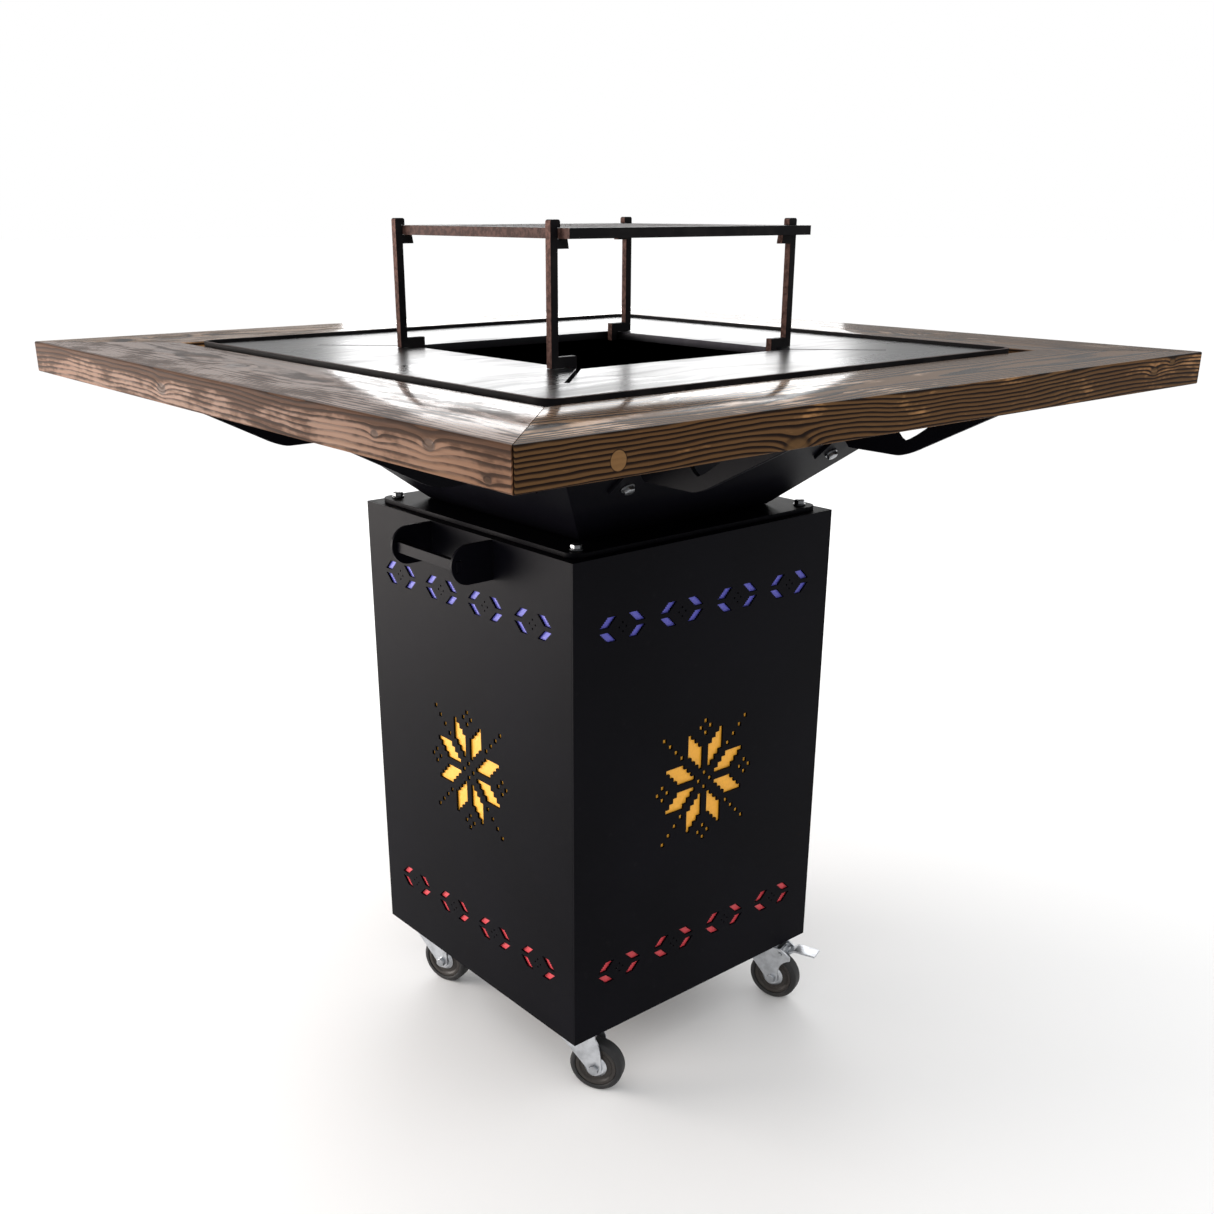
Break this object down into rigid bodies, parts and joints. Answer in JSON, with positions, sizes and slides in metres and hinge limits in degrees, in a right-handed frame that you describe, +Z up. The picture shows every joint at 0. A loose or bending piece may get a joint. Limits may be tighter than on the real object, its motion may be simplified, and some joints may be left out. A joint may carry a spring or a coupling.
{
  "type": "fire pit with grate",
  "caption": "Square fire pit table on a wheeled steel cabinet, with an inverted pyramid bowl, a cooking plate round the fire, a scorched wood frame and a raised lift-off grate.",
  "frame": {"origin": "on the floor, under the middle of the table", "axes": "+Z up; the handle side faces -X, the front faces -Y"},
  "size_m": [1.156, 1.156, 1.1975],
  "materials": {
    "wood": "scorched, brushed and oiled softwood",
    "black_steel": "satin black powder coat",
    "oiled_steel": "hot-rolled steel, oiled and seasoned",
    "scorched_steel": "raw cut steel, heat-darkened",
    "pattern_colours": "blue, yellow and red bands, satin",
    "zinc": "bright zinc plate",
    "tyre": "smooth rubber",
    "wheel_plastic": "matt"
  },
  "bodies": {
    "table": {"board_front": "wood", "board_right": "wood", "board_back": "wood", "board_left": "wood", "plancha_rim": "scorched_steel", "plancha_plate": "oiled_steel", "fire_bowl": "black_steel", "bowl_flange": "black_steel", "flange_bolt_front_left": "zinc", "flange_bolt_front_right": "zinc", "flange_bolt_back_left": "zinc", "flange_bolt_back_right": "zinc", "cabinet_panel_front": "black_steel", "cabinet_panel_right": "black_steel", "cabinet_panel_back": "black_steel", "cabinet_panel_left": "black_steel", "colour_liner_front": "pattern_colours", "colour_liner_right": "pattern_colours", "colour_liner_back": "pattern_colours", "colour_liner_left": "pattern_colours", "cabinet_top": "black_steel", "cabinet_floor": "black_steel", "handle_cheek_front": "black_steel", "handle_cheek_back": "black_steel", "handle_bar": "black_steel", "bracket_a_front": "black_steel", "bracket_a_right": "black_steel", "bracket_a_back": "black_steel", "bracket_a_left": "black_steel", "bracket_b_front": "black_steel", "bracket_b_right": "black_steel", "bracket_b_back": "black_steel", "bracket_b_left": "black_steel", "caster_mount_front_left": "zinc", "caster_mount_front_right": "zinc", "caster_mount_back_left": "zinc", "caster_mount_back_right": "zinc"},
    "grate_stand": {"grate_leg_front_left": "scorched_steel", "grate_leg_front_right": "scorched_steel", "grate_leg_back_left": "scorched_steel", "grate_leg_back_right": "scorched_steel", "grate_plate": "scorched_steel"},
    "caster_front_left": {"caster_fork_front_left": "zinc", "caster_axle_front_left": "zinc"},
    "wheel_front_left": {"caster_wheel_front_left": "wheel_plastic", "caster_tyre_front_left": "tyre"},
    "caster_front_right": {"caster_fork_front_right": "zinc", "caster_axle_front_right": "zinc"},
    "wheel_front_right": {"caster_wheel_front_right": "wheel_plastic", "caster_tyre_front_right": "tyre"},
    "pedal_front_right": {"brake_pedal_front_right": "zinc"},
    "caster_back_left": {"caster_fork_back_left": "zinc", "caster_axle_back_left": "zinc"},
    "wheel_back_left": {"caster_wheel_back_left": "wheel_plastic", "caster_tyre_back_left": "tyre"},
    "caster_back_right": {"caster_fork_back_right": "zinc", "caster_axle_back_right": "zinc"},
    "wheel_back_right": {"caster_wheel_back_right": "wheel_plastic", "caster_tyre_back_right": "tyre"},
    "pedal_back_right": {"brake_pedal_back_right": "zinc"}
  },
  "joints": [
    {"name": "swivel_front_left", "type": "hinge", "parent": "table", "child": "caster_front_left", "pos_m": [-0.192, -0.192, 0.096], "axis": [0, 0, 1], "continuous": true},
    {"name": "wheel_spin_front_left", "type": "hinge", "parent": "caster_front_left", "child": "wheel_front_left", "pos_m": [-0.17716, -0.21575, 0.04], "axis": [0.848, 0.5299, 0], "continuous": true},
    {"name": "swivel_front_right", "type": "hinge", "parent": "table", "child": "caster_front_right", "pos_m": [0.192, -0.192, 0.096], "axis": [0, 0, 1], "continuous": true},
    {"name": "wheel_spin_front_right", "type": "hinge", "parent": "caster_front_right", "child": "wheel_front_right", "pos_m": [0.20158, -0.21831, 0.04], "axis": [0.9397, 0.342, 0], "continuous": true},
    {"name": "brake_front_right", "type": "hinge", "parent": "caster_front_right", "child": "pedal_front_right", "pos_m": [0.20602, -0.23053, 0.088], "axis": [0.9397, 0.342, 0], "range_deg": [0, 12]},
    {"name": "swivel_back_left", "type": "hinge", "parent": "table", "child": "caster_back_left", "pos_m": [-0.192, 0.192, 0.096], "axis": [0, 0, 1], "continuous": true},
    {"name": "wheel_spin_back_left", "type": "hinge", "parent": "caster_back_left", "child": "wheel_back_left", "pos_m": [-0.18242, 0.16569, 0.04], "axis": [0.9397, 0.342, 0], "continuous": true},
    {"name": "swivel_back_right", "type": "hinge", "parent": "table", "child": "caster_back_right", "pos_m": [0.192, 0.192, 0.096], "axis": [0, 0, 1], "continuous": true},
    {"name": "wheel_spin_back_right", "type": "hinge", "parent": "caster_back_right", "child": "wheel_back_right", "pos_m": [0.20383, 0.16662, 0.04], "axis": [0.9063, 0.4226, 0], "continuous": true},
    {"name": "brake_back_right", "type": "hinge", "parent": "caster_back_right", "child": "pedal_back_right", "pos_m": [0.20933, 0.15484, 0.088], "axis": [0.9063, 0.4226, 0], "range_deg": [0, 12]},
    {"name": "grate_lift", "type": "slide", "parent": "table", "child": "grate_stand", "axis": [0, 0, 1], "range_m": [0, 0.25]}
  ]
}
